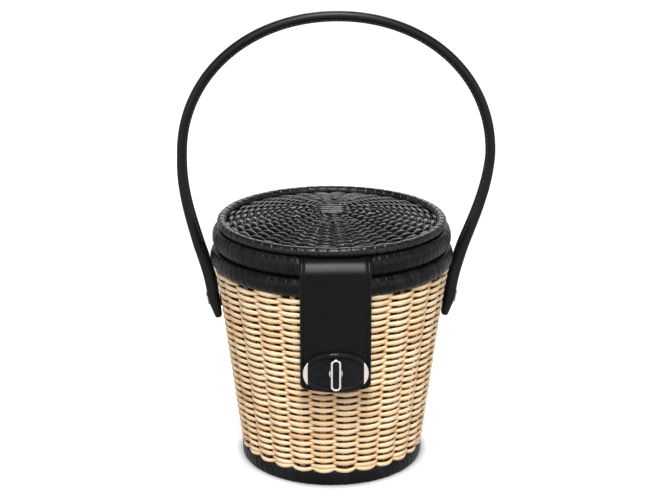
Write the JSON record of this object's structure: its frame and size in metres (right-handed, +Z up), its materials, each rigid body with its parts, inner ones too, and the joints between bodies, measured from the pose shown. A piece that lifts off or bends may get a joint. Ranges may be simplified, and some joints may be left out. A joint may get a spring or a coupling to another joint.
{
  "type": "wicker bucket bag",
  "caption": "Tapered woven wicker bucket bag with a hinged domed woven lid, a leather strap with an oval turn lock and a swinging arched leather handle.",
  "frame": {"origin": "centre of the bottom board's underside, on the surface that the bag stands on", "axes": "+Z up along the bucket's axis, -Y to the front where the strap and lock hang, +X to the right seen from the front"},
  "size_m": [0.194, 0.1618, 0.282],
  "materials": {
    "wicker": "natural peeled cane, slightly satin",
    "board": "plain matte wood",
    "black_cane": "black lacquered cane, satin",
    "black_leather": "smooth black calf leather, satin",
    "lock_metal": "polished pale metal with black enamel field"
  },
  "bodies": {
    "bucket": {"basket_wall": "wicker", "bottom_board": "board", "foot_ring": "black_cane", "rim_ring": "black_cane", "keeper_base": "lock_metal", "keeper_rails": "lock_metal", "keeper_face": "lock_metal", "keeper_rivets": "lock_metal", "hinge_bag_leaf": "black_leather", "hinge_rivets": "lock_metal", "handle_rivets": "lock_metal"},
    "lid": {"lid_panel": "black_cane", "lid_border": "black_cane", "lid_hoop": "black_cane", "lock_strap": "black_leather", "lock_plate": "lock_metal", "lock_back_plate": "lock_metal", "hinge_lid_leaf": "black_leather"},
    "lock": {"turn_bar": "lock_metal"},
    "handle": {"handle": "black_leather"}
  },
  "joints": [
    {"name": "lid_hinge", "type": "hinge", "parent": "bucket", "child": "lid", "pos_m": [0, 0.0775, 0.13795], "axis": [-1, 0, 0], "range_deg": [0, 55]},
    {"name": "lock_turn", "type": "hinge", "parent": "lid", "child": "lock", "pos_m": [0, -0.0778, 0.08335], "axis": [0, 1, 0], "range_deg": [0, 90]},
    {"name": "handle_swing", "type": "hinge", "parent": "bucket", "child": "handle", "pos_m": [0, 0, 0.103], "axis": [1, 0, 0], "range_deg": [-90, 90]}
  ]
}
